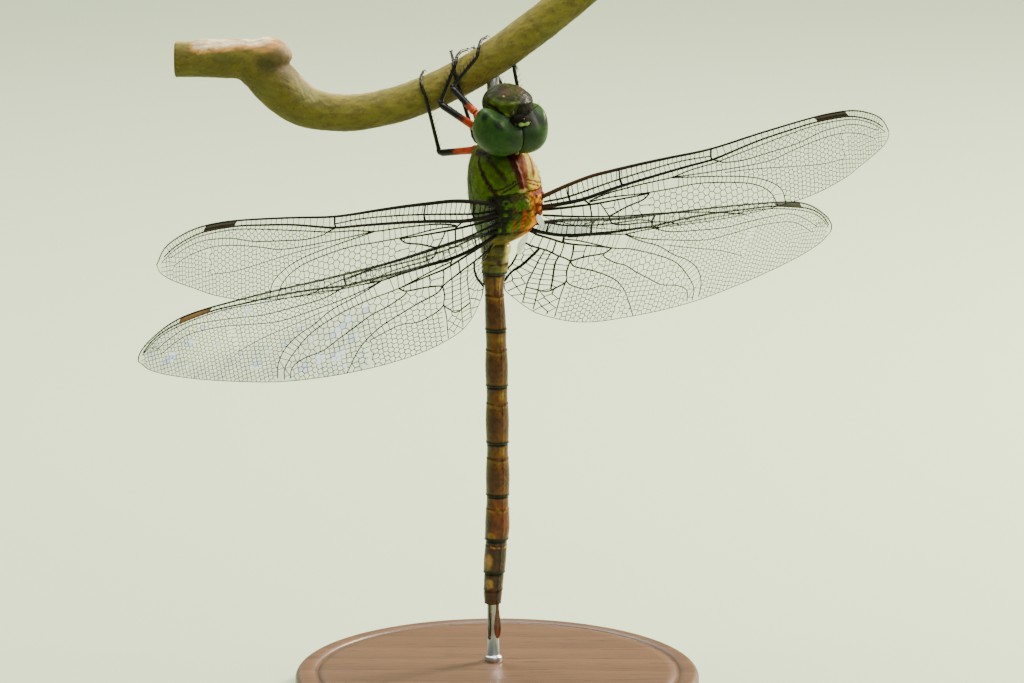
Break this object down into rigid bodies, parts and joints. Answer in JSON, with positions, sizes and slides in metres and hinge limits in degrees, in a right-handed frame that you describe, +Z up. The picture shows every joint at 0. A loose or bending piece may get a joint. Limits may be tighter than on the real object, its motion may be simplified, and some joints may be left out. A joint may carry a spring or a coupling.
{
  "type": "dragonfly",
  "caption": "Life-size hawker dragonfly with clear veined wings spread, clinging head up under a cut length of twig on a small round display stand.",
  "frame": {"origin": "centre of the stand's flat underside, on the floor", "axes": "+Z up, +X to the viewer's right in the picture's view, -Y towards the viewer; the insect's back faces roughly -Y and its head +Z"},
  "size_m": [0.0913, 0.0607, 0.0913],
  "materials": {
    "eye": "glossy compound eye",
    "face": "glossy shell",
    "head_shell": "satin shell",
    "thorax_shell": "satin shell with fine fuzz",
    "wing": "clear membrane",
    "leg_red": "satin shell",
    "leg_black": "satin shell",
    "abdomen_shell": "satin shell",
    "tail_shell": "satin shell",
    "twig": "rough bark",
    "stand_metal": "brushed",
    "stand_wood": "waxed"
  },
  "bodies": {
    "root": {"abdomen_s1": "abdomen_shell", "abdomen_s10": "tail_shell", "abdomen_s2": "abdomen_shell", "abdomen_s3": "abdomen_shell", "abdomen_s4": "abdomen_shell", "abdomen_s5": "abdomen_shell", "abdomen_s6": "abdomen_shell", "abdomen_s7": "abdomen_shell", "abdomen_s8": "tail_shell", "abdomen_s9": "tail_shell", "antenna_left": "leg_black", "antenna_right": "leg_black", "cercus_left": "tail_shell", "cercus_right": "tail_shell", "epiproct": "tail_shell", "eye_left": "eye", "eye_right": "eye", "face": "face", "head": "head_shell", "leg_fore_left_femur": "leg_red", "leg_fore_left_tarsus": "leg_black", "leg_fore_left_tibia": "leg_black", "leg_fore_right_femur": "leg_red", "leg_fore_right_tarsus": "leg_black", "leg_fore_right_tibia": "leg_black", "leg_hind_left_femur": "leg_red", "leg_hind_left_tarsus": "leg_black", "leg_hind_left_tibia": "leg_black", "leg_hind_right_femur": "leg_red", "leg_hind_right_tarsus": "leg_black", "leg_hind_right_tibia": "leg_black", "leg_mid_left_femur": "leg_red", "leg_mid_left_tarsus": "leg_black", "leg_mid_left_tibia": "leg_black", "leg_mid_right_femur": "leg_red", "leg_mid_right_tarsus": "leg_black", "leg_mid_right_tibia": "leg_black", "mouthparts": "face", "perch": "twig", "prothorax": "thorax_shell", "stand_base": "stand_wood", "stand_rod": "stand_metal", "thorax": "thorax_shell", "wing_fore_left": "wing", "wing_fore_right": "wing", "wing_hind_left": "wing", "wing_hind_right": "wing"}
  },
  "joints": []
}
